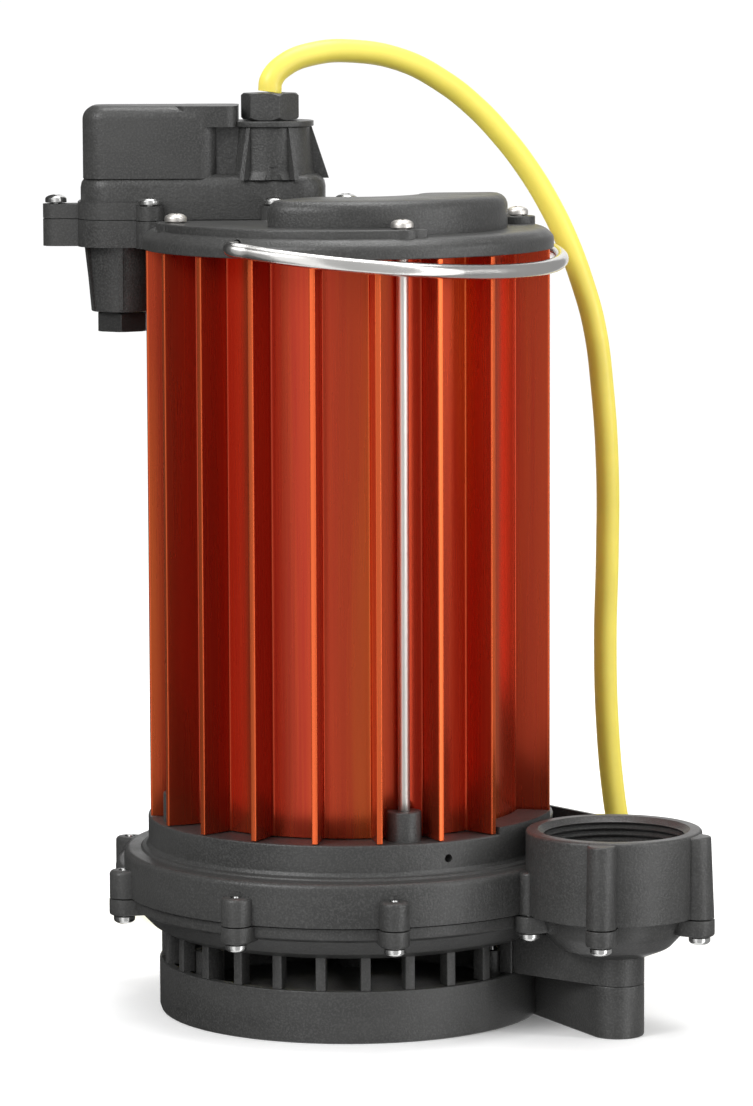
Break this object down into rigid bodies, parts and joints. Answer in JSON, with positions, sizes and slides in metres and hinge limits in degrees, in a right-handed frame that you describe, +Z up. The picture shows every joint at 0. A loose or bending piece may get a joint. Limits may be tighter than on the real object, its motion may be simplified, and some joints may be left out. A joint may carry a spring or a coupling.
{
  "type": "submersible sump pump",
  "caption": "Upright submersible pump with a finned motor housing, side discharge collar, slotted strainer base, switch housing, hinged bail handle and power cord.",
  "frame": {"origin": "on the floor under the motor axis, at the centre of the flat face of the strainer base", "axes": "+Z up along the motor shaft; the discharge collar is towards +X and -Y, the switch housing towards -X; the front is -Y"},
  "size_m": [0.2307, 0.3246, 0.3329],
  "materials": {
    "body_plastic": "charcoal glass-filled moulding, fine matte grain",
    "anodised_housing": "orange-red anodised extrusion, satin with brighter fin edges",
    "stainless": "bright stainless steel",
    "rubber": "black nitrile rubber",
    "cord_jacket": "yellow soft PVC jacket",
    "copper_wire": "enamelled copper windings",
    "lamination_steel": "laminated electrical steel",
    "bearing_steel": "ground bearing steel",
    "brass": "machined brass",
    "seal_ceramic": "lapped ceramic",
    "seal_carbon": "carbon graphite",
    "black_plastic": "black moulding"
  },
  "bodies": {
    "root": {"base_screw_60": "stainless", "base_screw_180": "stainless", "base_screw_300": "stainless", "strainer_base": "body_plastic", "volute_lower": "body_plastic", "volute_upper": "body_plastic", "volute_gasket": "rubber", "volute_screw_left": "stainless", "volute_screw_front_left": "stainless", "volute_screw_front": "stainless", "volute_screw_front_right": "stainless", "volute_screw_back_left": "stainless", "volute_screw_back": "stainless", "volute_screw_back_right": "stainless", "volute_screw_collar_front": "stainless", "volute_screw_collar_right": "stainless", "motor_housing": "anodised_housing", "lower_o_ring": "rubber", "tie_bolt_1": "stainless", "tie_bolt_2": "stainless", "tie_bolt_3": "stainless", "tie_bolt_4": "stainless", "top_cap": "body_plastic", "upper_o_ring": "rubber", "switch_cover": "body_plastic", "cover_gasket": "rubber", "cover_screw_left": "stainless", "cover_screw_right": "stainless", "cover_screw_front_left": "stainless", "cover_screw_front_right": "stainless", "cover_screw_back_left": "stainless", "cover_screw_back_right": "stainless", "cord_gland_nut": "body_plastic", "cord_grommet": "rubber", "port_plug": "body_plastic", "stator_core": "lamination_steel", "winding_lower": "copper_wire", "winding_upper": "copper_wire", "overload_protector": "black_plastic", "capacitor": "black_plastic", "lower_bearing_outer": "bearing_steel", "upper_bearing_outer": "bearing_steel", "seal_seat": "seal_ceramic", "power_cord": "cord_jacket", "cord_tail": "cord_jacket", "cord_coil": "cord_jacket", "coil_tie": "black_plastic", "power_plug": "cord_jacket"},
    "rotor": {"rotor_shaft": "stainless", "rotor_core": "lamination_steel", "impeller": "black_plastic", "impeller_nut": "brass", "seal_head": "seal_carbon", "seal_spring": "stainless", "upper_bearing_inner": "bearing_steel", "lower_bearing_inner": "bearing_steel"},
    "upper_cage": {"upper_bearing_cage": "bearing_steel"},
    "lower_cage": {"lower_bearing_cage": "bearing_steel"},
    "handle": {"bail_handle": "stainless"}
  },
  "joints": [
    {"name": "rotor_spin", "type": "hinge", "parent": "root", "child": "rotor", "pos_m": [0, 0, 0.1], "axis": [0, 0, 1], "continuous": true},
    {"name": "upper_cage_spin", "type": "hinge", "parent": "root", "child": "upper_cage", "pos_m": [0, 0, 0.256], "axis": [0, 0, 1], "continuous": true},
    {"name": "lower_cage_spin", "type": "hinge", "parent": "root", "child": "lower_cage", "pos_m": [0, 0, 0.0627], "axis": [0, 0, 1], "continuous": true},
    {"name": "handle_swing", "type": "hinge", "parent": "root", "child": "handle", "pos_m": [0, 0, 0.2668], "axis": [-0.5373, -0.8434, 0], "range_deg": [0, 95]}
  ],
  "couplings": [
    {"joint": "upper_cage_spin", "follows": "rotor_spin", "ratio": 0.41},
    {"joint": "lower_cage_spin", "follows": "rotor_spin", "ratio": 0.41}
  ]
}
